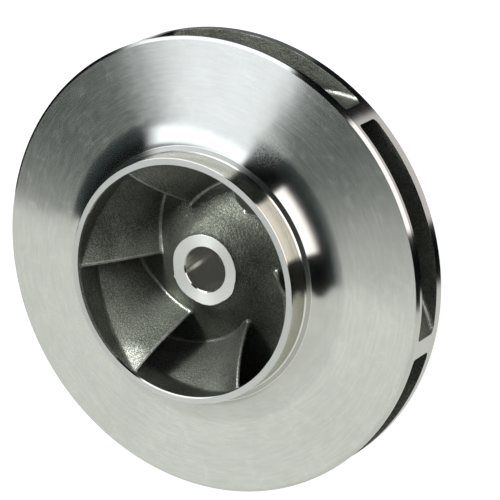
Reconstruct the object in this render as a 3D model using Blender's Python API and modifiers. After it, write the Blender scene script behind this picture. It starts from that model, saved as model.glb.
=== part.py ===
"""Closed radial pump impeller, lying on its back boss with the suction eye up.

Units are metres and +Z runs along the shaft axis, out of the suction eye.
The real impeller is one stainless casting, turned outside and bored. Here its
shrouds, neck, hub and vanes are separate solids, a hair apart where they join.
"""
import math

import bmesh
import bpy

OBJECT_NAME = "pump_impeller"
JOIN_GAP = 0.0003

# Whole impeller
OUTER_RADIUS = 0.125
RIM_WIDTH = 0.0264
BACK_BOSS_HEIGHT = 0.006
REAR_FACE_Z = BACK_BOSS_HEIGHT
RIM_FRONT_Z = REAR_FACE_Z + RIM_WIDTH
FRONT_RIM_CHAMFER = 0.0012
REAR_RIM_CHAMFER = 0.001

# Suction eye and the turned neck around it
EYE_RADIUS = 0.0629
NECK_RADIUS = 0.0667
NECK_TOP_Z = RIM_FRONT_Z + 0.0273
NECK_FOOT_Z = RIM_FRONT_Z + 0.0146
NECK_FOOT_RADIUS = 0.0674
NECK_CHAMFER = 0.0005

# Front shroud
SHOULDER_RADIUS = 0.0698
SHOULDER_Z = RIM_FRONT_Z + 0.0124
SHOULDER_RISE = 0.001
FRONT_CONE_ANGLE = math.radians(5.5)
FRONT_FILLET_RADIUS = 0.0205
FRONT_RIM_THICKNESS = 0.0036
FRONT_INNER_ANGLE = math.radians(5.0)
THROAT_RADIUS = 0.014

# Back shroud
BACK_RIM_THICKNESS = 0.0058
BACK_INNER_Z = REAR_FACE_Z + BACK_RIM_THICKNESS
HUB_SPLIT_RADIUS = 0.034

# Hub
BORE_RADIUS = 0.0121
BORE_CHAMFER = 0.0006
NOSE_RADIUS = 0.0194
NOSE_Z = RIM_FRONT_Z + 0.0023
NOSE_EDGE = 0.0004
HUB_CONE_ANGLE = math.radians(47.0)
HUB_CONE_END_RADIUS = 0.027
BACK_BOSS_RADIUS = 0.028
BACK_BOSS_CHAMFER = 0.0008

# Vanes: angles are measured around +Z, and each vane trails clockwise outward
VANE_COUNT = 6
VANE_WRAP = math.radians(135.0)
VANE_TIP_RADIUS = 0.1248
LEADING_EDGE_HUB_RADIUS = 0.035
LEADING_EDGE_EYE_Z = NECK_TOP_Z - 0.0019
LEADING_EDGE_BOW = 0.0034
VANE_NOSE_THICKNESS = 0.0022
VANE_THICKNESS = 0.0048
VANE_NOSE_SHARE = 0.04
VANE_FULL_SHARE = 0.80
NOSE_TIP_SHARE = 0.25
HUB_BLADE_ANGLES = ((0.0, 26.5), (0.25, 29.0), (0.5, 31.0), (0.75, 30.0), (1.0, 27.0))
EYE_TURN_ANGLES = ((0.0, 34.0), (0.06, 25.0), (0.11, 18.0), (0.16, 15.0))
EYE_BLADE_ANGLES = EYE_TURN_ANGLES + ((0.3, 18.0), (0.6, 27.0), (1.0, 27.0))
VANE_NOSE_STATIONS = (0.0, 0.012, 0.04, 0.08)
VANE_TURN_STATIONS = tuple(0.13 + 0.04 * i for i in range(9))
VANE_OUTER_STATIONS = (0.52, 0.6, 0.7, 0.8, 0.9, 1.0)
VANE_STATIONS = VANE_NOSE_STATIONS + VANE_TURN_STATIONS + VANE_OUTER_STATIONS
VANE_SPANS = 5
PATH_SAMPLES = 240

# Facets around the axis and along the rounds, and the corner that still shades as an edge
DISC_STEPS = 96
HUB_STEPS = 64
FILLET_STEPS = 7
THROAT_STEPS = 6
THROAT_SAMPLES = 40
SHROUD_FLARE_STEPS = 6
HUB_FLARE_STEPS = 3
MERGE_DISTANCE = 0.00001
SHARP_ANGLE = math.radians(30.0)

# Colours and finishes
TURNED_STEEL = (0.62, 0.63, 0.62, 1.0)
CAST_STEEL = (0.20, 0.20, 0.19, 1.0)
FRONT_ROUGHNESS = 0.32
NECK_ROUGHNESS = 0.28
BACK_ROUGHNESS = 0.35
HUB_ROUGHNESS = 0.4
CAST_ROUGHNESS = 0.6


def clear_scene():
    for old in list(bpy.data.objects):
        bpy.data.objects.remove(old, do_unlink=True)


def make_material(name, colour, roughness):
    material = bpy.data.materials.new(name)
    material.use_nodes = True
    shader = material.node_tree.nodes["Principled BSDF"]
    shader.inputs["Base Color"].default_value = colour
    shader.inputs["Metallic"].default_value = 1.0
    shader.inputs["Roughness"].default_value = roughness
    return material


def arc(centre, radius, start, end, count):
    """Points of an arc in the (radius, height) plane, angles in radians."""
    points = []
    for i in range(count + 1):
        angle = start + (end - start) * i / count
        points.append((centre[0] + radius * math.cos(angle), centre[1] + radius * math.sin(angle)))
    return points


def smooth_round_faces(mesh):
    mesh.shade_smooth()
    mesh.set_sharp_from_angle(angle=SHARP_ANGLE)


def turned_solid(name, profile, steps, collection, material):
    """Turn a closed (radius, height) outline once around the Z axis."""
    mesh = bpy.data.meshes.new(name)
    count = len(profile)
    edges = [(i, (i + 1) % count) for i in range(count)]
    mesh.from_pydata([(r, 0.0, z) for r, z in profile], edges, [])
    solid = bpy.data.objects.new(name, mesh)
    collection.objects.link(solid)
    screw = solid.modifiers.new("turn", "SCREW")
    screw.axis = "Z"
    screw.steps = steps
    screw.render_steps = steps
    screw.use_merge_vertices = True
    screw.merge_threshold = MERGE_DISTANCE
    scene_state = bpy.context.evaluated_depsgraph_get()
    turned = bpy.data.meshes.new_from_object(solid.evaluated_get(scene_state))
    solid.modifiers.clear()
    solid.data = turned
    bpy.data.meshes.remove(mesh)
    turned.name = name
    turned.materials.append(material)
    smooth_round_faces(turned)
    return solid


def hub_cone_end():
    """Where the straight hub cone ends and the flare to the back shroud begins."""
    drop = (HUB_CONE_END_RADIUS - NOSE_RADIUS - NOSE_EDGE) * math.tan(HUB_CONE_ANGLE)
    return HUB_CONE_END_RADIUS, NOSE_Z - NOSE_EDGE - drop


def hub_flare():
    """Centre and radius of the flare, level with the back shroud where it ends."""
    radius, height = hub_cone_end()
    flare = (height - BACK_INNER_Z) / (1.0 - math.cos(HUB_CONE_ANGLE))
    return (radius + flare * math.sin(HUB_CONE_ANGLE), BACK_INNER_Z + flare), flare


def flare_height(radius, offset=0.0):
    (centre_r, centre_z), flare = hub_flare()
    if radius >= centre_r:
        return BACK_INNER_Z + offset
    reach = flare - offset
    return centre_z - math.sqrt(reach * reach - (centre_r - radius) ** 2)


def throat_centre():
    """Centre of the round that turns the flow from the eye into the disc."""
    radius = EYE_RADIUS + THROAT_RADIUS
    touch = radius - THROAT_RADIUS * math.sin(FRONT_INNER_ANGLE)
    line = RIM_FRONT_Z - FRONT_RIM_THICKNESS + (OUTER_RADIUS - touch) * math.tan(FRONT_INNER_ANGLE)
    return radius, line + THROAT_RADIUS * math.cos(FRONT_INNER_ANGLE)


def front_fillet():
    """The hollow fillet from the shoulder down to the front cone."""
    along = (math.cos(FRONT_CONE_ANGLE), -math.sin(FRONT_CONE_ANGLE))
    normal = (math.sin(FRONT_CONE_ANGLE), math.cos(FRONT_CONE_ANGLE))
    edge_radius = OUTER_RADIUS - FRONT_RIM_CHAMFER
    offset = (SHOULDER_RADIUS - edge_radius, SHOULDER_Z - RIM_FRONT_Z)
    height = offset[0] * normal[0] + offset[1] * normal[1]
    station = offset[0] * along[0] + offset[1] * along[1]
    foot = station + math.sqrt(FRONT_FILLET_RADIUS ** 2 - (FRONT_FILLET_RADIUS - height) ** 2)
    centre = (
        edge_radius + foot * along[0] + FRONT_FILLET_RADIUS * normal[0],
        RIM_FRONT_Z + foot * along[1] + FRONT_FILLET_RADIUS * normal[1],
    )
    start = math.atan2(SHOULDER_Z - centre[1], SHOULDER_RADIUS - centre[0])
    end = -math.pi / 2 - FRONT_CONE_ANGLE
    if start > 0.0:
        start -= 2 * math.pi
    return arc(centre, FRONT_FILLET_RADIUS, start, end, FILLET_STEPS)


def front_shroud_profile():
    top = NECK_FOOT_Z - JOIN_GAP
    throat = throat_centre()
    outline = [(EYE_RADIUS, top), (NECK_FOOT_RADIUS, top)]
    outline.append((NECK_FOOT_RADIUS, SHOULDER_Z + SHOULDER_RISE))
    outline += front_fillet()
    outline.append((OUTER_RADIUS - FRONT_RIM_CHAMFER, RIM_FRONT_Z))
    outline.append((OUTER_RADIUS, RIM_FRONT_Z - FRONT_RIM_CHAMFER))
    outline.append((OUTER_RADIUS, RIM_FRONT_Z - FRONT_RIM_THICKNESS))
    outline += arc(throat, THROAT_RADIUS, -math.pi / 2 - FRONT_INNER_ANGLE, -math.pi, THROAT_STEPS)
    return outline


def neck_profile():
    outline = [(EYE_RADIUS, NECK_FOOT_Z), (EYE_RADIUS, NECK_TOP_Z - NECK_CHAMFER)]
    outline.append((EYE_RADIUS + NECK_CHAMFER, NECK_TOP_Z))
    outline.append((NECK_RADIUS - NECK_CHAMFER, NECK_TOP_Z))
    outline.append((NECK_RADIUS, NECK_TOP_Z - NECK_CHAMFER))
    outline.append((NECK_RADIUS, NECK_FOOT_Z))
    return outline


def back_shroud_profile():
    (centre_r, _), _ = hub_flare()
    first = HUB_SPLIT_RADIUS + JOIN_GAP
    outline = []
    for i in range(SHROUD_FLARE_STEPS + 1):
        radius = first + (centre_r - first) * i / SHROUD_FLARE_STEPS
        outline.append((radius, flare_height(radius)))
    outline.append((OUTER_RADIUS, BACK_INNER_Z))
    outline.append((OUTER_RADIUS, REAR_FACE_Z + REAR_RIM_CHAMFER))
    outline.append((OUTER_RADIUS - REAR_RIM_CHAMFER, REAR_FACE_Z))
    outline.append((first, REAR_FACE_Z))
    return outline


def hub_profile():
    outline = [(BORE_RADIUS, NOSE_Z - BORE_CHAMFER), (BORE_RADIUS + BORE_CHAMFER, NOSE_Z)]
    outline.append((NOSE_RADIUS, NOSE_Z))
    outline.append((NOSE_RADIUS + NOSE_EDGE, NOSE_Z - NOSE_EDGE))
    for i in range(HUB_FLARE_STEPS + 1):
        radius = HUB_CONE_END_RADIUS + (HUB_SPLIT_RADIUS - HUB_CONE_END_RADIUS) * i / HUB_FLARE_STEPS
        outline.append((radius, flare_height(radius)))
    outline.append((HUB_SPLIT_RADIUS, REAR_FACE_Z))
    outline.append((BACK_BOSS_RADIUS, REAR_FACE_Z))
    outline.append((BACK_BOSS_RADIUS, BACK_BOSS_CHAMFER))
    outline.append((BACK_BOSS_RADIUS - BACK_BOSS_CHAMFER, 0.0))
    outline.append((BORE_RADIUS + BORE_CHAMFER, 0.0))
    outline.append((BORE_RADIUS, BORE_CHAMFER))
    return outline


def resample(points, stations):
    """Points at the given shares of a polyline's length."""
    lengths = [0.0]
    for a, b in zip(points, points[1:]):
        lengths.append(lengths[-1] + math.dist(a, b))
    result = []
    segment = 0
    for share in stations:
        target = share * lengths[-1]
        while segment < len(points) - 2 and lengths[segment + 1] < target:
            segment += 1
        step = lengths[segment + 1] - lengths[segment]
        part = (target - lengths[segment]) / step
        a, b = points[segment], points[segment + 1]
        result.append((a[0] + (b[0] - a[0]) * part, a[1] + (b[1] - a[1]) * part))
    return result


def hub_path():
    """The vane's lower edge, on the hub flare and the back shroud."""
    points = []
    for i in range(PATH_SAMPLES + 1):
        radius = LEADING_EDGE_HUB_RADIUS + (VANE_TIP_RADIUS - LEADING_EDGE_HUB_RADIUS) * i / PATH_SAMPLES
        points.append((radius, flare_height(radius, JOIN_GAP)))
    return points


def eye_path():
    """The vane's upper edge, down the eye wall, round the throat and out to the rim."""
    centre = throat_centre()
    reach = THROAT_RADIUS + JOIN_GAP
    points = [(EYE_RADIUS - JOIN_GAP, LEADING_EDGE_EYE_Z)]
    points += arc(centre, reach, -math.pi, -math.pi / 2 - FRONT_INNER_ANGLE, THROAT_SAMPLES)
    rim = RIM_FRONT_Z - FRONT_RIM_THICKNESS - JOIN_GAP / math.cos(FRONT_INNER_ANGLE)
    rim += (OUTER_RADIUS - VANE_TIP_RADIUS) * math.tan(FRONT_INNER_ANGLE)
    points.append((VANE_TIP_RADIUS, rim))
    return points


def blade_angle(angles, share):
    """Angle between the vane and the circle it crosses, at a share of one edge."""
    for (start, low), (end, high) in zip(angles, angles[1:]):
        if share <= end:
            return math.radians(low + (high - low) * (share - start) / (end - start))
    return math.radians(angles[-1][1])


def wrap_along(path, angles):
    """Turn of the vane around the axis at each sample of one of its edges."""
    samples = resample(path, [i / PATH_SAMPLES for i in range(PATH_SAMPLES + 1)])
    turns = [0.0]
    for i in range(PATH_SAMPLES):
        a, b = samples[i], samples[i + 1]
        slope = math.tan(blade_angle(angles, (i + 0.5) / PATH_SAMPLES))
        turns.append(turns[-1] + math.dist(a, b) / (0.5 * (a[0] + b[0]) * slope))
    scale = VANE_WRAP / turns[-1]
    return [turn * scale for turn in turns]


def read_turn(turns, share):
    place = share * PATH_SAMPLES
    index = min(int(place), PATH_SAMPLES - 1)
    return turns[index] + (turns[index + 1] - turns[index]) * (place - index)


def vane_thickness(share):
    """Thickness of the vane across its own faces, thin and rounded at the nose."""
    grown = min(1.0, share / VANE_FULL_SHARE)
    full = VANE_NOSE_THICKNESS + (VANE_THICKNESS - VANE_NOSE_THICKNESS) * grown
    if share >= VANE_NOSE_SHARE:
        return full
    back = 1.0 - share / VANE_NOSE_SHARE
    return full * max(NOSE_TIP_SHARE, math.sqrt(1.0 - back * back))


def vane_sections():
    """Rows of (radius, height, angle, half angle) from leading edge to tip."""
    lower = resample(hub_path(), VANE_STATIONS)
    upper = resample(eye_path(), VANE_STATIONS)
    lower_turns = wrap_along(hub_path(), HUB_BLADE_ANGLES)
    upper_turns = wrap_along(eye_path(), EYE_BLADE_ANGLES)
    rows = []
    for share, low, high in zip(VANE_STATIONS, lower, upper):
        row = []
        for j in range(VANE_SPANS + 1):
            span = j / VANE_SPANS
            radius = low[0] + (high[0] - low[0]) * span
            bow = LEADING_EDGE_BOW * 4.0 * span * (1.0 - span) * (1.0 - share) ** 2
            height = low[1] + (high[1] - low[1]) * span + bow
            low_turn = read_turn(lower_turns, share)
            turn = low_turn + (read_turn(upper_turns, share) - low_turn) * span
            low_angle = blade_angle(HUB_BLADE_ANGLES, share)
            angle = low_angle + (blade_angle(EYE_BLADE_ANGLES, share) - low_angle) * span
            half = 0.5 * vane_thickness(share) / (radius * math.sin(angle))
            row.append((radius, height, -turn, half))
        rows.append(row)
    return rows


def make_vane(name, start_angle, collection, material):
    """Loft one vane: its two faces, its nose, its tip and its two root edges."""
    rows = vane_sections()
    shape = bmesh.new()
    sides = []
    for side in (-1.0, 1.0):
        grid = []
        for row in rows:
            line = []
            for radius, height, turn, half in row:
                angle = start_angle + turn + side * half
                line.append(shape.verts.new((radius * math.cos(angle), radius * math.sin(angle), height)))
            grid.append(line)
        sides.append(grid)
    right, left = sides
    last = len(rows) - 1
    for i in range(last):
        for j in range(VANE_SPANS):
            shape.faces.new((right[i][j], right[i + 1][j], right[i + 1][j + 1], right[i][j + 1]))
            shape.faces.new((left[i][j], left[i][j + 1], left[i + 1][j + 1], left[i + 1][j]))
        shape.faces.new((right[i][0], left[i][0], left[i + 1][0], right[i + 1][0]))
        shape.faces.new((right[i][-1], right[i + 1][-1], left[i + 1][-1], left[i][-1]))
    for j in range(VANE_SPANS):
        shape.faces.new((right[0][j], right[0][j + 1], left[0][j + 1], left[0][j]))
        shape.faces.new((right[last][j], left[last][j], left[last][j + 1], right[last][j + 1]))
    bmesh.ops.recalc_face_normals(shape, faces=shape.faces)
    mesh = bpy.data.meshes.new(name)
    shape.to_mesh(mesh)
    shape.free()
    mesh.materials.append(material)
    smooth_round_faces(mesh)
    vane = bpy.data.objects.new(name, mesh)
    collection.objects.link(vane)
    return vane


def main():
    clear_scene()
    parts = bpy.data.collections.new(OBJECT_NAME)
    bpy.context.scene.collection.children.link(parts)
    turned_solid("front_shroud", front_shroud_profile(), DISC_STEPS, parts,
                 make_material("front_shroud_steel", TURNED_STEEL, FRONT_ROUGHNESS))
    turned_solid("eye_neck", neck_profile(), DISC_STEPS, parts,
                 make_material("eye_neck_steel", TURNED_STEEL, NECK_ROUGHNESS))
    turned_solid("back_shroud", back_shroud_profile(), DISC_STEPS, parts,
                 make_material("back_shroud_steel", TURNED_STEEL, BACK_ROUGHNESS))
    turned_solid("hub", hub_profile(), HUB_STEPS, parts,
                 make_material("hub_steel", TURNED_STEEL, HUB_ROUGHNESS))
    for i in range(VANE_COUNT):
        name = f"vane_{i + 1}"
        make_vane(name, i * 2 * math.pi / VANE_COUNT, parts,
                  make_material(f"{name}_steel", CAST_STEEL, CAST_ROUGHNESS))


main()
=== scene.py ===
"""Pump impeller: the finished look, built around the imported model.

Metres, +Z up along the shaft, out of the suction eye. The impeller lies on its back boss.
"""

import math

import bpy
import numpy as np
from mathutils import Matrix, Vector, noise


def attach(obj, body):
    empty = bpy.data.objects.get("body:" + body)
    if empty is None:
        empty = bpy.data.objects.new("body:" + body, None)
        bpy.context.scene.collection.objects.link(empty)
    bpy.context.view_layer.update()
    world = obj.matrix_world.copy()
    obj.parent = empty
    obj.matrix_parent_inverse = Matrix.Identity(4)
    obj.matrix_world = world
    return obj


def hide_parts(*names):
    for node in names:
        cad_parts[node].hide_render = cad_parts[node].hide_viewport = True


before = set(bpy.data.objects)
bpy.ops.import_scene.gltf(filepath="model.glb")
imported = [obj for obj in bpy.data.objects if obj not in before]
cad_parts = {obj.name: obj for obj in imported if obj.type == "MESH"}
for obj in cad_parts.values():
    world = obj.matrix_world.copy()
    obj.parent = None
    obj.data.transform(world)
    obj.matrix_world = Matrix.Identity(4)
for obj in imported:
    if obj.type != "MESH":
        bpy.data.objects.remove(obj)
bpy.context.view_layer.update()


# Back shroud. The rear disc of the one-piece stainless casting. Its inner face is left as
# cast and is the floor of the water passages. Its rim and rear face are turned in a lathe.
outer_radius = 0.125
rear_face_z = 0.006
passage_floor_z = 0.0118
hub_seam_radius = 0.034

# Finishes, as places in each body's list of materials.
turned, as_cast = 0, 1


def rounded(corners, curve_steps=4, support=0.00012):
    """Points of a closed outline whose corners (radius, height, rounding, finish) are softened.

    The finish is that of the strip that follows the corner. A curve takes less than half of
    the sides it joins, and a short straight strip at each end keeps the shading crisp."""
    curve_part, support_part = 2.2, 20
    points, finishes = [], []
    count = len(corners)
    for i in range(count):
        here = np.array(corners[i][:2])
        before = np.array(corners[i - 1][:2]) - here
        after = np.array(corners[(i + 1) % count][:2]) - here
        size, finish_before, finish_after = corners[i][2], corners[i - 1][3], corners[i][3]
        if size <= 0.0:
            points.append(here)
            finishes.append(finish_after)
            continue
        before_length, after_length = np.linalg.norm(before), np.linalg.norm(after)
        before, after = before / before_length, after / after_length
        turn = math.pi - math.acos(float(np.clip(before @ after, -1.0, 1.0)))
        reach = min(size * math.tan(turn / 2), before_length / curve_part, after_length / curve_part)
        lead = min(support, before_length / support_part, after_length / support_part)
        points.append(here + before * (reach + lead))
        finishes.append(finish_before)
        for k in range(curve_steps + 1):
            t = k / curve_steps
            points.append(here + before * reach * (1 - t) ** 2 + after * reach * t ** 2)
            finishes.append(finish_before if t < 0.5 else finish_after)
        points.append(here + after * (reach + lead))
        finishes.append(finish_after)
    return points, finishes


def divided(points, finishes, longest):
    """The same closed outline with no strip longer than the given length."""
    new_points, new_finishes = [], []
    for i in range(len(points)):
        a, b = points[i], points[(i + 1) % len(points)]
        strips = max(1, math.ceil(np.linalg.norm(b - a) / longest))
        for k in range(strips):
            new_points.append(a + (b - a) * k / strips)
            new_finishes.append(finishes[i])
    return new_points, new_finishes


def cast_wave(x, y, z):
    """How far the cast skin stands off its true surface: the slow waver of a sand mould."""
    slow_height, slow_per_metre = 0.00012, 55.0
    quick_height, quick_per_metre = 0.00005, 170.0
    slow = noise.noise(Vector((x, y, z)) * slow_per_metre)
    quick = noise.noise(Vector((x + 1.0, y, z)) * quick_per_metre)
    return slow_height * slow + quick_height * quick


def finished_body(name, verts, faces, materials, slots, sharp_degrees):
    """A closed mesh in the scene: faces turned outward, smooth but for its sharp edges."""
    mesh = bpy.data.meshes.new(name)
    mesh.from_pydata(verts, [], faces)
    for material in materials:
        mesh.materials.append(material)
    mesh.polygons.foreach_set("material_index", slots)
    mesh.calc_loop_triangles()
    volume = 0.0
    for triangle in mesh.loop_triangles:
        a, b, c = (mesh.vertices[v].co for v in triangle.vertices)
        volume += a.dot(b.cross(c))
    if volume < 0.0:
        mesh.flip_normals()
    mesh.shade_smooth()
    mesh.set_sharp_from_angle(angle=math.radians(sharp_degrees))
    body = bpy.data.objects.new(name, mesh)
    bpy.context.scene.collection.objects.link(body)
    return body


def turned_body(name, corners, materials, longest=0.0016, steps=360):
    """One ring-shaped solid from a closed outline, with the waver of the mould where it is as cast."""
    points, finishes = divided(*rounded(corners), longest)
    count = len(points)
    outline = np.array(points)
    following = np.roll(outline, -1, 0)
    tangent = following - np.roll(outline, 1, 0)
    normal = np.stack([-tangent[:, 1], tangent[:, 0]], 1)
    normal /= np.linalg.norm(normal, axis=1)[:, None]
    if np.sum(outline[:, 0] * following[:, 1] - following[:, 0] * outline[:, 1]) > 0.0:
        normal = -normal
    verts, faces, slots = [], [], []
    for k in range(steps):
        c, s = math.cos(2 * math.pi * k / steps), math.sin(2 * math.pi * k / steps)
        for i in range(count):
            r, z = outline[i]
            if finishes[i] == as_cast and finishes[i - 1] == as_cast:
                lift = cast_wave(r * c, r * s, z)
                r, z = r + normal[i, 0] * lift, z + normal[i, 1] * lift
            verts.append((r * c, r * s, z))
    for k in range(steps):
        here, ahead = k * count, ((k + 1) % steps) * count
        for i in range(count):
            j = (i + 1) % count
            faces.append((here + i, ahead + i, ahead + j, here + j))
            slots.append(finishes[i])
    return finished_body(name, verts, faces, materials, slots, sharp_degrees=38.0)


class Nodes:
    """Short ways to add nodes to one tree. A socket is given a value or another node's output."""

    def __init__(self, tree):
        self.tree = tree

    def add(self, kind, sockets=(), **settings):
        """A node with its settings made, and its sockets set or linked."""
        node = self.tree.nodes.new(kind)
        for key, value in settings.items():
            setattr(node, key, value)
        for socket, source in sockets:
            if hasattr(source, "is_output"):
                self.tree.links.new(source, node.inputs[socket])
            else:
                node.inputs[socket].default_value = source
        return node

    def worked(self, operation, *values, **settings):
        """The answer of a Math node."""
        return self.add("ShaderNodeMath", enumerate(values), operation=operation, **settings).outputs[0]

    def vector_worked(self, operation, *vectors):
        """The number that a Vector Math node gives."""
        node = self.add("ShaderNodeVectorMath", enumerate(vectors), operation=operation)
        return node.outputs["Value"]

    def ramp(self, value, before, after, **settings):
        """A value carried over from one range to another, and held at both ends."""
        sockets = enumerate((value, *before, *after))
        return self.add("ShaderNodeMapRange", sockets, **settings).outputs[0]

    def speckle(self, place, per_metre, detail, roughness=0.5, distortion=0.0):
        """Noise of so many grains a metre."""
        sockets = [("Vector", place), ("Scale", per_metre), ("Detail", detail),
                   ("Roughness", roughness), ("Distortion", distortion)]
        return self.add("ShaderNodeTexNoise", sockets).outputs[0]

    def blend(self, share, first, second, **settings):
        """Two colours mixed by a share."""
        sockets = [(0, share), (6, first), (7, second)]
        return self.add("ShaderNodeMix", sockets, data_type="RGBA", **settings).outputs[2]

    def relief(self, height, strength, depth, **settings):
        """A bumpy normal from a height."""
        sockets = [("Strength", strength), ("Distance", depth), ("Height", height), *settings.items()]
        return self.add("ShaderNodeBump", sockets).outputs[0]


def new_finish(name, metallic=1.0):
    """A material, a way to add nodes to it, and the sockets of its shader."""
    material = bpy.data.materials.new(name)
    material.use_nodes = True
    shader = material.node_tree.nodes["Principled BSDF"]
    shader.inputs["Metallic"].default_value = metallic
    return material, Nodes(material.node_tree), shader.inputs


def turned_steel(name, colour, roughness, stretch, groove=0.15, mottle=0.07, scuffed=None):
    """Stainless steel from the lathe: fine rings and broken turning marks round the shaft.

    Round the scuffed place, if there is one, hair scratches have dulled it."""
    material, nodes, sockets = new_finish(name)
    link = nodes.tree.links.new
    place = nodes.add("ShaderNodeTexCoord").outputs["Object"]
    x, y, z = nodes.add("ShaderNodeSeparateXYZ", [(0, place)]).outputs
    plan = nodes.add("ShaderNodeCombineXYZ", [(0, x), (1, y)]).outputs[0]
    across = nodes.worked("ADD", nodes.vector_worked("LENGTH", plan), z)

    # Rings run right round. Turning marks are long and thin, and break off.
    rings = nodes.add("ShaderNodeTexNoise", [("W", across), ("Scale", 1500.0), ("Detail", 2.0)],
                      noise_dimensions="1D").outputs[0]
    facing = nodes.add("ShaderNodeVectorMath", [(0, plan)], operation="NORMALIZE").outputs[0]
    east, north, _ = nodes.add("ShaderNodeSeparateXYZ", [(0, facing)]).outputs
    course = [nodes.worked("MULTIPLY", source, marks_per_unit)
              for source, marks_per_unit in ((east, 9.0), (north, 9.0), (across, 900.0))]
    course = nodes.add("ShaderNodeCombineXYZ", enumerate(course)).outputs[0]
    marks = nodes.speckle(course, per_metre=1.0, detail=3.0)
    cloud = nodes.speckle(place, per_metre=42.0, detail=4.0)
    smear = nodes.speckle(place, per_metre=95.0, detail=3.0, distortion=1.6)

    shade = nodes.worked("MULTIPLY", nodes.ramp(cloud, (0.3, 0.7), (1.0 - mottle, 1.0)),
                         nodes.ramp(marks, (0.3, 0.7), (0.965, 1.02)))
    shade = nodes.worked("MULTIPLY", shade, nodes.ramp(smear, (0.54, 0.68), (0.99, 1.025)))
    link(nodes.blend(1.0, colour, shade, blend_type="MULTIPLY"), sockets["Base Color"])

    dull = nodes.ramp(marks, (0.3, 0.7), (roughness * 0.93, roughness * 1.07))
    dull = nodes.worked("ADD", dull, nodes.ramp(smear, (0.58, 0.7), (0.0, 0.015)))
    if scuffed is not None:
        near = nodes.ramp(nodes.vector_worked("DISTANCE", place, scuffed), (0.003, 0.013), (0.3, 0.0))
        hairs = nodes.speckle(place, per_metre=420.0, detail=4.0, distortion=4.0)
        torn = nodes.ramp(hairs, (0.4, 0.65), (0.1, 0.9))
        dull = nodes.worked("ADD", dull, nodes.worked("MULTIPLY", near, torn))
    link(dull, sockets["Roughness"])

    grooves = nodes.relief(rings, groove, 0.00002)
    waver = nodes.speckle(place, per_metre=38.0, detail=2.0)
    link(nodes.relief(waver, 0.4, 0.00012, Normal=grooves), sockets["Normal"])
    round_shaft = nodes.add("ShaderNodeTangent", direction_type="RADIAL", axis="Z").outputs[0]
    link(round_shaft, sockets["Tangent"])
    sockets["Anisotropic"].default_value = stretch
    sockets["Anisotropic Rotation"].default_value = 0.25
    return material


def cast_steel(name, dark, light, roughness, ground_and_sheen=None):
    """Stainless steel as it left the mould: sandy, dull, and brighter where the grain stands proud.

    Round the given place, if there is one, the skin turns pale in scratches: partly a ground spot, and
    partly a painted highlight."""
    material, nodes, sockets = new_finish(name, metallic=0.93)
    link = nodes.tree.links.new
    place = nodes.add("ShaderNodeTexCoord").outputs["Object"]
    cloud = nodes.speckle(place, per_metre=38.0, detail=5.0)
    grain = nodes.speckle(place, per_metre=1500.0, detail=2.0, roughness=0.6)
    pits = nodes.add("ShaderNodeTexVoronoi", [("Vector", place), ("Scale", 800.0)], feature="SMOOTH_F1")

    share = nodes.worked("ADD", nodes.ramp(cloud, (0.3, 0.7), (0.0, 0.55)),
                         nodes.ramp(grain, (0.4, 0.75), (-0.1, 0.7)), use_clamp=True)
    skin = nodes.blend(share, dark, light)
    if ground_and_sheen is not None:
        near = nodes.ramp(nodes.vector_worked("DISTANCE", place, ground_and_sheen), (0.003, 0.012), (0.28, 0.0))
        scratch = nodes.ramp(grain, (0.4, 0.6), (0.2, 1.4))
        share = nodes.worked("MULTIPLY", near, scratch, use_clamp=True)
        skin = nodes.blend(share, skin, (0.9, 0.91, 0.82, 1.0))
    link(skin, sockets["Base Color"])
    link(nodes.ramp(cloud, (0.3, 0.7), (roughness + 0.05, roughness - 0.05)), sockets["Roughness"])
    height = nodes.worked("ADD", grain, pits.outputs[0])
    link(nodes.relief(height, 0.7, 0.00018), sockets["Normal"])
    return material


# Its pale patch on one vane is partly a ground spot, and partly a painted highlight.
passage_skin = cast_steel("passage_cast_skin", (0.055, 0.062, 0.049, 1.0), (0.28, 0.3, 0.25, 1.0), 0.55,
                          ground_and_sheen=(-0.023, 0.056, 0.0535))
back_turned = turned_steel("back_turned_steel", (0.68, 0.695, 0.63, 1.0), 0.18, 0.88)

# Where the hub cone flares out into the passage floor: level with it at flare_end.
nose_z = 0.0347
nose_edge_radius = 0.0194
nose_step = 0.0004
cone_angle = math.radians(47.0)
cone_end_radius = 0.027
cone_end_z = nose_z - nose_step - (cone_end_radius - nose_edge_radius) * math.tan(cone_angle)
flare_radius = (cone_end_z - passage_floor_z) / (1.0 - math.cos(cone_angle))
flare_end = cone_end_radius + flare_radius * math.sin(cone_angle)


def hub_side_z(r):
    """Height of the cast surface under the vanes, from the hub cone out to the rim."""
    if r >= flare_end:
        return passage_floor_z
    if r <= cone_end_radius:
        return cone_end_z + (cone_end_radius - r) * math.tan(cone_angle)
    return passage_floor_z + flare_radius - math.sqrt(flare_radius ** 2 - (flare_end - r) ** 2)


corners = [(r, hub_side_z(r), 0.0, as_cast) for r in np.linspace(hub_seam_radius, flare_end, 24)]
corners += [
    (outer_radius, passage_floor_z, 0.0003, turned),
    (outer_radius, rear_face_z, 0.0009, turned),
    (hub_seam_radius, rear_face_z, 0.0, turned),
]
back = turned_body("back_shroud_disc", corners, [back_turned, passage_skin])
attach(back, "root")
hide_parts("back_shroud")


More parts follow.
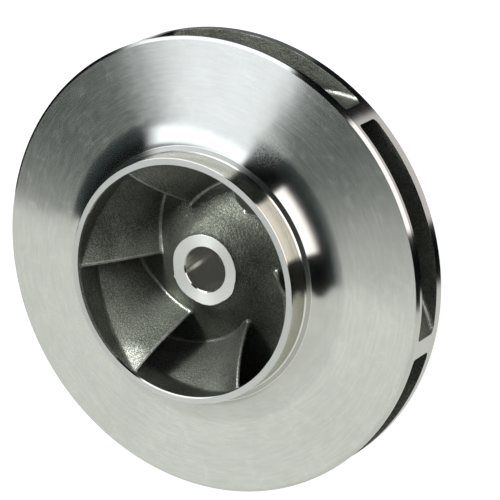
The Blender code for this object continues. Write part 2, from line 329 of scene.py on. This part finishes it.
# Hub. The middle of the same casting: a cone up to a faced nose round the shaft bore, and a
# short faced boss behind. The bore is reamed, and its mouth carries a small chamfer.
bore_radius = 0.0121
bore_chamfer = 0.0006
cone_start_radius = 0.0202
boss_radius = 0.028
reamed = 2
nose_turned = turned_steel("hub_nose_steel", (0.76, 0.775, 0.715, 1.0), 0.34, 0.6)
corners = [
    (bore_radius, nose_z - bore_chamfer, 0.0001, reamed),
    (bore_radius + bore_chamfer, nose_z, 0.0001, turned),
    (nose_edge_radius, nose_z, 0.0003, as_cast),
]
corners += [(r, hub_side_z(r), 0.0, as_cast) for r in np.linspace(cone_start_radius, hub_seam_radius, 16)]
corners += [
    (hub_seam_radius, rear_face_z, 0.0, turned),
    (boss_radius, rear_face_z, 0.0004, turned),
    (boss_radius, 0.0, 0.0008, turned),
    (bore_radius, 0.0, 0.0006, reamed),
]
hub = turned_body("hub_body", corners, [nose_turned, passage_skin, back_turned], longest=0.001, steps=240)

# The cast cone is uneven, so the faced nose ends in an uneven line with a burr on it: the
# angle and radius of each turn of that line, and the radii between which the metal follows it.
nose_turns = (-180, -155, -138, -95, -50, -15, 5, 35, 62, 74, 77, 80, 95, 125, 155, 180)
nose_radii = (0.0192, 0.01975, 0.0189, 0.0188, 0.0191, 0.0191, 0.01945, 0.0199, 0.0193, 0.0196, 0.0205,
              0.0198, 0.0199, 0.0191, 0.0197, 0.0192)
uneven_from, full_within = 0.0165, 0.002
uneven_to, fades_over = 0.027, 0.005
uneven_above_z = 0.02
burr_height, burrs_per_metre = 0.00012, 500.0
for vertex in hub.data.vertices:
    x, y, z = vertex.co
    r = math.hypot(x, y)
    share = min((r - uneven_from) / full_within, (uneven_to - r) / fades_over, 1.0)
    if share <= 0.0 or z < uneven_above_z:
        continue
    edge = np.interp(math.degrees(math.atan2(y, x)), nose_turns, nose_radii)
    edge += burr_height * noise.noise(Vector((x, y, 0.0)) * burrs_per_metre)
    scale = 1.0 + (edge - nose_edge_radius) * share / r
    vertex.co = (x * scale, y * scale, z)
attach(hub, "root")
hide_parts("hub")


# Vanes. Six swept blades cast in one with both shrouds, with a fillet along each root. Only
# the ends that lie flush in the rim are turned, with the rest of the outside.
# A lighter copy of the cast skin for the vanes' hub fillets and noses: a painted highlight along them.
root_highlight_skin = cast_steel("vane_root_highlight_skin", (0.15, 0.158, 0.14, 1.0), (0.42, 0.44, 0.39, 1.0), 0.4)
vane_count = 6
vane_wrap = math.radians(135.0)
eye_radius = 0.0629
eye_top_z = 0.0597
eye_edge_z = eye_top_z - 0.0003
front_rim_z = 0.0288
front_inner_angle = math.radians(5.0)
throat_radius = 0.014
throat_r = eye_radius + throat_radius
throat_touch = throat_r - throat_radius * math.sin(front_inner_angle)
throat_z = front_rim_z + (outer_radius - throat_touch) * math.tan(front_inner_angle)
throat_z += throat_radius * math.cos(front_inner_angle)
leading_edge_r = 0.035
leading_edge_z = 0.0578
leading_edge_bow = 0.0034
sunk_in_hub = 0.00002
hub_line_start_r = 0.0305
point_gap = 0.0002


def arc(centre_r, centre_z, radius, start, end, count):
    """Points of an arc in the plane of the shaft."""
    bends = np.linspace(start, end, count)
    return [(centre_r + radius * math.cos(bend), centre_z + radius * math.sin(bend)) for bend in bends]


def with_run(points):
    """A line in the plane of the shaft, with its running length."""
    line = np.array(points)
    steps = np.linalg.norm(np.diff(line, axis=0), axis=1)
    return line, np.concatenate([[0.0], np.cumsum(steps)])


# The two lines that a vane's roots follow out to the rim: one over the hub side, and one down
# the wall of the eye, round the throat and along the front shroud.
hub_points = [(r, hub_side_z(r) - sunk_in_hub) for r in np.linspace(hub_line_start_r, outer_radius, 500)]
hub_line, hub_run = with_run(hub_points)
hub_run -= np.interp(leading_edge_r, hub_line[:, 0], hub_run)
eye_points = [(eye_radius, z) for z in np.linspace(eye_edge_z, throat_z + point_gap, 40)]
eye_points += arc(throat_r, throat_z, throat_radius, math.pi, math.pi * 1.5 - front_inner_angle, 60)
for r in np.linspace(throat_touch, outer_radius, 120)[1:]:
    eye_points.append((r, front_rim_z + (outer_radius - r) * math.tan(front_inner_angle)))
eye_line, eye_run = with_run(eye_points)
eye_run -= eye_edge_z - leading_edge_z


def on_line(line, run, share):
    """Point of a line at a share of its length from the leading edge to the rim."""
    place = share * run[-1]
    return np.interp(place, run, line[:, 0]), np.interp(place, run, line[:, 1])


# The vane's angle to the circle, in degrees, at shares of each line.
hub_angles = ((0.0, 0.25, 0.5, 0.75, 1.0), (26.5, 29.0, 31.0, 30.0, 27.0))
eye_angles = ((0.0, 0.06, 0.11, 0.16, 0.3, 0.6, 1.0), (34.0, 25.0, 18.0, 15.0, 18.0, 27.0, 27.0))


def wrap_along(line, run, angles, steps=240):
    """Turn about the shaft at even shares of a line, which comes to the whole wrap at the rim."""
    shares = np.linspace(0.0, 1.0, steps + 1)
    middle = 0.5 * (shares[1:] + shares[:-1])
    r, _ = on_line(line, run, middle)
    slope = np.tan(np.radians(np.interp(middle, *angles)))
    turns = np.concatenate([[0.0], np.cumsum(run[-1] / steps / (r * slope))])
    return shares, turns * vane_wrap / turns[-1]


hub_wrap = wrap_along(hub_line, hub_run, hub_angles)
eye_wrap = wrap_along(eye_line, eye_run, eye_angles)


def turn_at(wrap, share):
    """Read the wrap, carried straight on before the leading edge."""
    shares, turns = wrap
    before = np.minimum(share, 0.0) * (turns[2] - turns[0]) / (shares[2] - shares[0])
    return np.interp(share, shares, turns) + before


def vane_point(share, span, off):
    """Point of a vane: share along it, span from hub side to front side, off round the circle."""
    low_r, low_z = on_line(hub_line, hub_run, share)
    high_r, high_z = on_line(eye_line, eye_run, share)
    r = low_r + (high_r - low_r) * span
    lead = np.clip(1.0 - share, 0.0, 1.0)
    z = low_z + (high_z - low_z) * span + leading_edge_bow * 4.0 * span * (1.0 - span) * lead ** 2
    low = turn_at(hub_wrap, share)
    turn = low + (turn_at(eye_wrap, share) - low) * span
    return r, z, off / r - turn


nose_thickness = 0.0022
full_thickness = 0.0048
full_from_share = 0.8
nose_angle = math.radians(30.0)
nose_settles_over = 0.006
hub_fillet_nose = 0.0012
hub_fillet_tip = 0.0023
hub_fillet_extra = 0.0006
front_fillet = 0.0013
front_fillet_nose = 0.0009
side_stations = 110
nose_stations = 14
tip_stations = 12
fillet_rows = 5
open_rows = 16
sunk = -0.35


def vane_rows():
    """Rows from the hub side to the front side: (kind, value, swell) of each.

    The first and the last are sunk in the shrouds, so that no seam shows where the vane meets them."""
    bends = [math.pi / 2 * k / fillet_rows for k in range(fillet_rows)]
    fillet = [(1.0 - math.cos(bend), 1.0 - math.sin(bend)) for bend in bends]
    rows = [("hub", sunk, 1.0)]
    rows += [("hub", value, swell) for value, swell in fillet]
    rows += [("open", k / open_rows, 0.0) for k in range(open_rows + 1)]
    rows += [("front", value, swell) for value, swell in reversed(fillet)]
    rows.append(("front", sunk, 1.0))
    return rows


def front_fillet_at(share):
    """Size of the fillet along the front shroud, which is smaller at the nose."""
    return front_fillet_nose + (front_fillet - front_fillet_nose) * np.clip(share / 0.1, 0.0, 1.0)


def hub_fillet_at(share):
    """Size of the fillet along the hub side, which is fuller at the nose and at the tip."""
    at_nose = hub_fillet_extra * np.clip(1.0 - share / 0.05, 0.0, 1.0)
    toward_tip = np.clip((share - 0.6) / 0.35, 0.0, 1.0)
    return hub_fillet_nose + at_nose + (hub_fillet_tip - hub_fillet_nose) * toward_tip


def span_of(kind, value, share):
    """The span of a row at a share, with the fillets keeping their real height."""
    low_r, low_z = on_line(hub_line, hub_run, share)
    high_r, high_z = on_line(eye_line, eye_run, share)
    length = np.hypot(high_r - low_r, high_z - low_z)
    low_edge, high_edge = hub_fillet_at(share) / length, 1.0 - front_fillet_at(share) / length
    if kind == "hub":
        return value * low_edge
    if kind == "front":
        return 1.0 - value * (1.0 - high_edge)
    return low_edge + (high_edge - low_edge) * value


def vane_loop(kind, value, swell):
    """One closed row round the vane: right side from the tip, round the nose, left side, tip."""
    # How long this row is, from the leading edge to the rim, and where its round nose lies.
    span = span_of(kind, value, 0.01)
    length = hub_run[-1] + (eye_run[-1] - hub_run[-1]) * span
    centre = 0.5 * nose_thickness / length
    nose_fillet = {"hub": hub_fillet_at(0.0), "front": front_fillet_nose, "open": 0.0}[kind]
    reach = 0.5 * nose_thickness + swell * nose_fillet

    # The sides, with their points closer together near the nose.
    grade = np.linspace(0.0, 1.0, side_stations) ** 1.35
    shares, offs = [], []
    for side in (1.0, -1.0):
        start = centre + side * reach * math.cos(nose_angle) / length
        share = start + (1.0 - start) * grade
        inside = np.clip(share, 0.0, 1.0)
        grown = np.clip(inside / full_from_share, 0.0, 1.0)
        thick = nose_thickness + (full_thickness - nose_thickness) * grown
        fillet = {"hub": hub_fillet_at(inside), "front": front_fillet_at(inside), "open": 0.0}[kind]
        low, high = np.interp(inside, *hub_angles), np.interp(inside, *eye_angles)
        angle = np.radians(low + (high - low) * span_of(kind, value, share))
        settled = np.clip((share - start) * length / nose_settles_over, 0.0, 1.0)
        angle = nose_angle + (angle - nose_angle) * settled
        shares.append(share)
        offs.append(side * (0.5 * thick + swell * fillet) / np.sin(angle))

    # The nose, then the tip's end, which lies flush in the rim.
    around = np.linspace(0.0, math.pi, nose_stations + 2)[1:-1]
    nose_share = centre + reach * (np.cos(around) * math.cos(nose_angle)
                                   - np.sin(around) * math.sin(nose_angle)) / length
    nose_off = reach * np.cos(around) / math.sin(nose_angle)
    share = np.concatenate([shares[0][::-1], nose_share, shares[1]])
    off = np.concatenate([offs[0][::-1], nose_off, offs[1]])
    r, z, turn = vane_point(share, span_of(kind, value, share), off)
    across = np.arange(1, tip_stations) / tip_stations
    tip_r = np.full(len(across), r[0])
    tip_z = z[-1] + (z[0] - z[-1]) * across
    tip_turn = turn[-1] + (turn[0] - turn[-1]) * across
    return np.concatenate([r, tip_r]), np.concatenate([z, tip_z]), np.concatenate([turn, tip_turn])


def vane_body(name, start_angle):
    """The vane as a closed mesh: rows up its height, closed at both roots and at the tip."""
    loops = [vane_loop(*row) for row in vane_rows()]
    count = len(loops[0][0])
    grid = np.zeros((len(loops), count, 3))
    for i, (r, z, turn) in enumerate(loops):
        grid[i, :, 0] = r * np.cos(turn + start_angle)
        grid[i, :, 1] = r * np.sin(turn + start_angle)
        grid[i, :, 2] = z
    normal = np.cross(np.gradient(grid, axis=1), np.gradient(grid, axis=0))
    normal /= np.linalg.norm(normal, axis=2)[:, :, None] + 1e-12
    tip_fades_over = 0.002
    for i in range(len(loops)):
        for j in range(count):
            point = grid[i, j]
            from_rim = outer_radius - math.hypot(point[0], point[1])
            share = max(0.0, min(1.0, from_rim / tip_fades_over))
            grid[i, j] = point + normal[i, j] * cast_wave(*point) * share
    verts = [tuple(point) for point in grid.reshape(-1, 3)]

    # The fillet along the hub side and the leading edge take a lighter skin than the rest: a painted
    # highlight along them.
    skin_slot, tip_slot, highlight_slot = 0, 1, 2
    faces, slots = [], []
    last_side = count - tip_stations
    nose_middle = side_stations + nose_stations / 2
    for i in range(len(loops) - 1):
        for j in range(count):
            k = (j + 1) % count
            faces.append((i * count + j, i * count + k, (i + 1) * count + k, (i + 1) * count + j))
            bright = i <= fillet_rows or abs(j - nose_middle) < nose_stations / 2 + 1
            slots.append(tip_slot if j >= last_side else highlight_slot if bright else skin_slot)

    # The sunk rows are closed by one face at the tip and by strips from side to side.
    for i in (0, len(loops) - 1):
        caps = [(0, *range(count - 1, last_side, -1), last_side)]
        caps += [(j, last_side - j, last_side - j - 1, j + 1) for j in range((last_side + 1) // 2 - 1)]
        for cap in caps:
            face = tuple(i * count + j for j in cap)
            faces.append(face if i == 0 else face[::-1])
            slots.append(skin_slot)
    materials = [passage_skin, back_turned, root_highlight_skin]
    return finished_body(name, verts, faces, materials, slots, sharp_degrees=50.0)


vanes = []
for i in range(vane_count):
    vane = vane_body(f"vane_{i + 1}_blade", i * 2 * math.pi / vane_count)
    vanes.append(vane)
    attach(vane, "root")
    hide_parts(f"vane_{i + 1}")


# Front shroud. The front wall of the passages, cast with the vanes and turned outside: a
# shallow cone, a hollow fillet up to a shoulder, and a narrow chamfer at the rim.
shroud_top_z = 0.047
neck_radius = 0.0667
neck_foot = 0.0006
neck_foot_top, neck_foot_bottom = 0.0018, 0.001
shoulder_radius, shoulder_z = 0.0698, 0.0448
fillet_radius = 0.0205
fillet_centre_r, fillet_centre_z = 0.086578, 0.056579
fillet_from, fillet_to = math.radians(-144.93), math.radians(-95.5)
front_face_z = 0.0324
rim_chamfer_width, rim_chamfer_height = 0.0016, 0.0015
rim_lip = 0.0003
corner_width, corner_rise = 0.0003, 0.0001
shoulder_shaded_finish, corner_burnished_highlit_finish = 2, 3
front_turned = turned_steel("front_turned_steel", (0.68, 0.695, 0.63, 1.0), 0.16, 0.92,
                            scuffed=(0.0375, -0.0715, 0.0370))
# The shoulder's steel is a darker copy of the turned steel: painted shade on the shoulder band.
shoulder_shaded = turned_steel("shoulder_shaded_steel", (0.5, 0.51, 0.45, 1.0), 0.2, 0.88, groove=0.6)
# The corner steel is lighter: partly a burnished edge, and partly a painted highlight on the small corners
# at the neck's foot and the shoulder.
corner_burnished_highlit = turned_steel("corner_burnished_highlit_steel", (0.86, 0.86, 0.79, 1.0), 0.16, 0.8)
corners = [
    (eye_radius, shroud_top_z, 0.0, turned),
    (neck_radius, shroud_top_z, 0.0, turned),
    (neck_radius, shoulder_z + neck_foot_top, 0.0001, corner_burnished_highlit_finish),
    (neck_radius + neck_foot, shoulder_z + neck_foot_bottom, 0.0001, shoulder_shaded_finish),
    (shoulder_radius - corner_width, shoulder_z + corner_rise, 0.0, corner_burnished_highlit_finish),
    (shoulder_radius, shoulder_z, 0.0002, turned),
]
fillet = arc(fillet_centre_r, fillet_centre_z, fillet_radius, fillet_from, fillet_to, 26)
corners += [(r, z, 0.0, turned) for r, z in fillet[1:]]
corners += [
    (outer_radius - rim_chamfer_width, front_face_z, 0.0002, turned),
    (outer_radius, front_face_z - rim_chamfer_height, 0.0002, turned),
    (outer_radius, front_rim_z - rim_lip, 0.0003, as_cast),
]
throat = arc(throat_r, throat_z, throat_radius, -math.pi / 2 - front_inner_angle, -math.pi, 16)
corners += [(r, z, 0.0, as_cast) for r, z in throat]
shroud = turned_body("front_shroud_disc", corners,
                     [front_turned, passage_skin, shoulder_shaded, corner_burnished_highlit])
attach(shroud, "root")
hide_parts("front_shroud")


# Eye neck. The turned ring round the suction eye that runs in the pump's wear ring. It is
# the top of the front shroud's casting, with a faced end and small chamfers.
inner_break, outer_break = 0.0007, 0.0004
ring_finish = 2
neck_turned = turned_steel("neck_turned_steel", (0.69, 0.685, 0.6, 1.0), 0.16, 0.92)
ring_turned = turned_steel("ring_face_steel", (0.74, 0.76, 0.705, 1.0), 0.42, 0.4)
corners = [
    (eye_radius, shroud_top_z, 0.0, as_cast),
    (eye_radius, eye_top_z - inner_break, 0.0001, turned),
    (eye_radius + inner_break, eye_top_z, 0.0001, ring_finish),
    (neck_radius - outer_break, eye_top_z, 0.0001, turned),
    (neck_radius, eye_top_z - outer_break, 0.0001, turned),
    (neck_radius, shroud_top_z, 0.0, turned),
]
neck = turned_body("eye_neck_ring", corners, [neck_turned, passage_skin, ring_turned])

# The inner edge is broken by hand: hardly at all on one side, and a steep and then a plain
# chamfer on the other. Its width and depth, as shares of inner_break, at angles round the ring:
edge_angles = (-180, 5, 25, 58, 108, 116, 157, 172, 180)
edge_width = (0.2, 0.2, 0.7, 1.0, 1.0, 0.9, 0.9, 0.2, 0.2)
edge_depth = (0.2, 0.2, 1.5, 2.1, 2.1, 0.9, 0.9, 0.2, 0.2)
edge_zone = 0.001
for vertex in neck.data.vertices:
    x, y, z = vertex.co
    r = math.hypot(x, y)
    if r > eye_radius + edge_zone or z < eye_top_z - edge_zone:
        continue
    angle = math.degrees(math.atan2(y, x))
    scale = (eye_radius + (r - eye_radius) * np.interp(angle, edge_angles, edge_width)) / r
    drop = (eye_top_z - z) * np.interp(angle, edge_angles, edge_depth)
    vertex.co = (x * scale, y * scale, eye_top_z - drop)

# The steep part of that chamfer takes the rough, dark skin of the cast wall under it: painted shade where
# that edge lies in shadow.
steep_from, steep_to = 30.0, 108.0
steep_within_r, steep_above_z = eye_radius + 0.0009, shroud_top_z + 0.003
for face in neck.data.polygons:
    x, y, z = face.center
    r, angle = math.hypot(x, y), math.degrees(math.atan2(y, x))
    by_edge = r < steep_within_r and z > steep_above_z
    if face.material_index == turned and by_edge and steep_from < angle < steep_to:
        face.material_index = as_cast
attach(neck, "root")
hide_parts("eye_neck")


# Floor. White paper on a light table. The steel doesn't mirror it: looking down, the steel
# sees only the dark sheet of painted shade and the lower half of the studio light.
far = 30.0
floor_mesh = bpy.data.meshes.new("studio_floor")
floor_mesh.from_pydata([(-far, -far, 0), (far, -far, 0), (far, far, 0), (-far, far, 0)], [], [(0, 1, 2, 3)])
floor = bpy.data.objects.new("studio_floor", floor_mesh)
bpy.context.scene.collection.objects.link(floor)
floor.visible_diffuse = floor.visible_glossy = floor.visible_shadow = False


def glowing(name, colour, roughness, glow_colour, glow_from, before, after):
    """A matt sheet whose own glow changes with the distance from a point."""
    material, nodes, sockets = new_finish(name, metallic=0.0)
    sockets["Base Color"].default_value = (colour, colour, colour, 1.0)
    sockets["Roughness"].default_value = roughness
    sockets["Emission Color"].default_value = glow_colour
    place = nodes.add("ShaderNodeTexCoord").outputs["Object"]
    glow = nodes.ramp(nodes.vector_worked("DISTANCE", place, glow_from), before, after)
    nodes.tree.links.new(glow, sockets["Emission Strength"])
    return material, sockets


# The paper's glow fades to nothing within 0.10 to 0.12 of the shaft: painted shade on the floor under the
# impeller.
paper, paper_sockets = glowing("studio_paper", 0.5, 0.9, (1.0, 1.0, 1.0, 1.0),
                               (0.0, 0.0, 0.0), (0.10, 0.12), (0.0, 0.82))
paper_sockets["Specular IOR Level"].default_value = 0.0
floor_mesh.materials.append(paper)

# A dark sheet under the part, that its bore and its rear face look into: painted shade in place
# of the shadow under the impeller. It glows faintly all over and brightly at one small spot: a
# painted reflection, seen as a streak down the bore.
bpy.ops.mesh.primitive_circle_add(vertices=64, radius=0.11, fill_type="NGON", location=(0.0, 0.0, -0.001))
shade = bpy.context.object
shade.name = "studio_shade"
shade.visible_shadow = shade.visible_camera = False
painted_shade_sheet, _ = glowing("studio_painted_shade_sheet", 0.02, 1.0, (1.0, 0.96, 0.95, 1.0),
                         (-0.0074, -0.002, 0.0), (0.0014, 0.003), (1.6, 0.07))
shade.data.materials.append(painted_shade_sheet)


# Studio light: a pale tent that wraps the far side, one brighter soft panel to the right of
# the camera, a small card low in front, and black cloth in the gaps between them. The turned
# rings stretch each of them into a bright or dark wedge.
air = bpy.data.worlds.new("studio_air")
air.use_nodes = True
studio = Nodes(air.node_tree)
for old in list(studio.tree.nodes):
    studio.tree.nodes.remove(old)


def past(value, start, end):
    """0 before start, 1 past end, with a soft step between."""
    return studio.ramp(value, (start, end), (0.0, 1.0), interpolation_type="SMOOTHSTEP")


def short_of(value, start, end):
    """1 before start, 0 past end."""
    return studio.worked("SUBTRACT", 1.0, past(value, start, end))


def total(*values):
    """Values added up."""
    answer = values[0]
    for value in values[1:]:
        answer = studio.worked("ADD", answer, value)
    return answer


def product(*values):
    """Values multiplied."""
    answer = values[0]
    for value in values[1:]:
        answer = studio.worked("MULTIPLY", answer, value)
    return answer


def light_of(colour, strength):
    """Light of one colour whose strength may change with direction."""
    return studio.add("ShaderNodeBackground", [(0, (*colour, 1.0)), (1, strength)]).outputs[0]


# Directions are told by their bearing in plan round the tent's crown, because a turned ring
# mirrors one bearing in each of its points, whatever its slope.
crown = (0.0, 0.573, 0.819)
toward = studio.add("ShaderNodeTexCoord").outputs["Generated"]
side, depth, height = (studio.vector_worked("DOT_PRODUCT", toward, axis)
                       for axis in ((1.0, 0.0, 0.0), (0.0, 1.0, 0.0), (0.0, 0.0, 1.0)))
from_crown = studio.worked("ARCTAN2", studio.worked("SUBTRACT", depth, crown[1]), side)
bearing = studio.worked("DEGREES", from_crown)
closeness = studio.vector_worked("DOT_PRODUCT", toward, crown)
above = past(height, -0.02, 0.06)
near = past(closeness, 0.94, 0.985)

# The tent, from bearing 43 round by 180 to 239, with light that spills past its edges by the
# crown. Halfway down, a fold in it makes the last few degrees dark.
around = total(bearing, product(studio.worked("LESS_THAN", bearing, -28.0), 360.0))
fold = product(short_of(closeness, 0.25, 0.75), past(closeness, -0.5, 0.1), 3.8)
tent = product(past(around, 41.5, 44.5), short_of(total(around, fold), 238.0, 241.0))
haze = total(product(past(closeness, 0.7, 0.93), 0.4), product(past(closeness, 0.93, 0.988), 0.6))
left_spill = product(short_of(bearing, -122.0, -74.0), haze, 0.75)
spill = total(left_spill, product(past(bearing, 18.0, 44.0), near, 0.35))
spill = product(spill, studio.worked("SUBTRACT", 1.0, tent))
tent_light = light_of((1.0, 1.0, 1.0), total(product(tent, 0.75), spill))

# The panel, from bearing -56 to -14: brighter low down, one crisp edge, and one that fades away.
lower = short_of(height, 0.62, 0.8)
upper = studio.worked("SUBTRACT", 1.0, lower)
fade = total(product(short_of(bearing, -15.0, -5.0), lower), product(short_of(bearing, -27.0, -2.0), upper))
panel = product(past(bearing, -57.5, -54.5), fade)
panel = product(panel, total(0.12, product(above, total(1.12, product(lower, 0.5)))))
panel_light = light_of((0.955, 0.98, 1.08), panel)

# The card, low in front at bearing -90.
off_card = studio.worked("ABSOLUTE", total(bearing, 90.3))
card = product(short_of(off_card, 14.0, 16.0), short_of(height, 0.60, 0.84))
card_light = light_of((1.05, 0.98, 1.02), product(card, total(0.7, product(above, 1.05))))

# The light table, seen past the edge of the rim.
table = product(past(bearing, -16.0, -11.0), short_of(bearing, -4.0, -1.0))
table = product(table, short_of(height, -0.7, -0.5), 1.3)
table_light = light_of((1.0, 1.0, 1.0), table)

# The crown, seen in the faced ends, and what little comes off the black cloth.
crown_light = light_of((1.0, 1.0, 1.0), product(past(closeness, 0.988, 0.9995), 0.98))
cloth_light = light_of((0.74, 1.07, 1.12), total(0.003, product(past(closeness, 0.3, 0.95), 0.036)))

light = tent_light
for more in (panel_light, card_light, table_light, crown_light, cloth_light):
    light = studio.add("ShaderNodeAddShader", [(0, light), (1, more)]).outputs[0]

# A plain pale backdrop that only the camera sees.
seen = studio.add("ShaderNodeLightPath").outputs["Is Camera Ray"]
backdrop = light_of((1.0, 1.0, 1.0), 1.0)
light = studio.add("ShaderNodeMixShader", [(0, seen), (1, light), (2, backdrop)]).outputs[0]
studio.add("ShaderNodeOutputWorld", [(0, light)])
bpy.context.scene.world = air


def panel_lamp(name, place, size, watts):
    """An area lamp that shines at the impeller and isn't seen by the camera."""
    area = bpy.data.lights.new(name, "AREA")
    area.size, area.energy = size, watts
    lamp = bpy.data.objects.new(name, area)
    lamp.location = place
    aim = Vector((0.0, 0.0, 0.03)) - Vector(place)
    lamp.rotation_euler = aim.to_track_quat("-Z", "Y").to_euler()
    lamp.visible_camera = False
    bpy.context.scene.collection.objects.link(lamp)
    return lamp


# The panel's own lamps, which model the as-cast passages: one low, which the steel doesn't
# mirror, and a key higher up that falls on the vanes, hub and floor of the passages alone.
# The neck doesn't shade them from the key.
low_lamp = panel_lamp("studio_panel_lamp", (0.81, -0.81, 0.62), 0.5, 5.5)
low_lamp.visible_glossy = False
key_lamp = panel_lamp("studio_key_lamp", (1.0, 0.0, 0.9), 0.35, 21.5)
cast_parts = bpy.data.collections.new("studio_cast_parts")
key_stops = bpy.data.collections.new("studio_key_stops")
for part in [hub, back] + vanes:
    cast_parts.objects.link(part)
    key_stops.objects.link(part)
key_stops.objects.link(shroud)
key_lamp.light_linking.receiver_collection = cast_parts
key_lamp.light_linking.blocker_collection = key_stops

# Plain colours, without the softer film look, so that white stays white.
bpy.context.scene.view_settings.view_transform = "Standard"


# Camera, at the photograph's viewing angle: a long lens about one and a half metres away. The
# photo shows the impeller up on its rim, so for one that lies flat the camera is on its side.
camera_data = bpy.data.cameras.new("photo_camera")
camera_data.lens = 205.62
camera_data.sensor_width = 36.0
camera_data.clip_end = 50.0
camera = bpy.data.objects.new("photo_camera", camera_data)
camera.location = (-0.0090549, -0.8646473, 1.2712576)
camera.rotation_euler = [math.radians(degrees) for degrees in (-17.38121, 29.6619, -122.7863)]
bpy.context.scene.collection.objects.link(camera)
bpy.context.scene.camera = camera
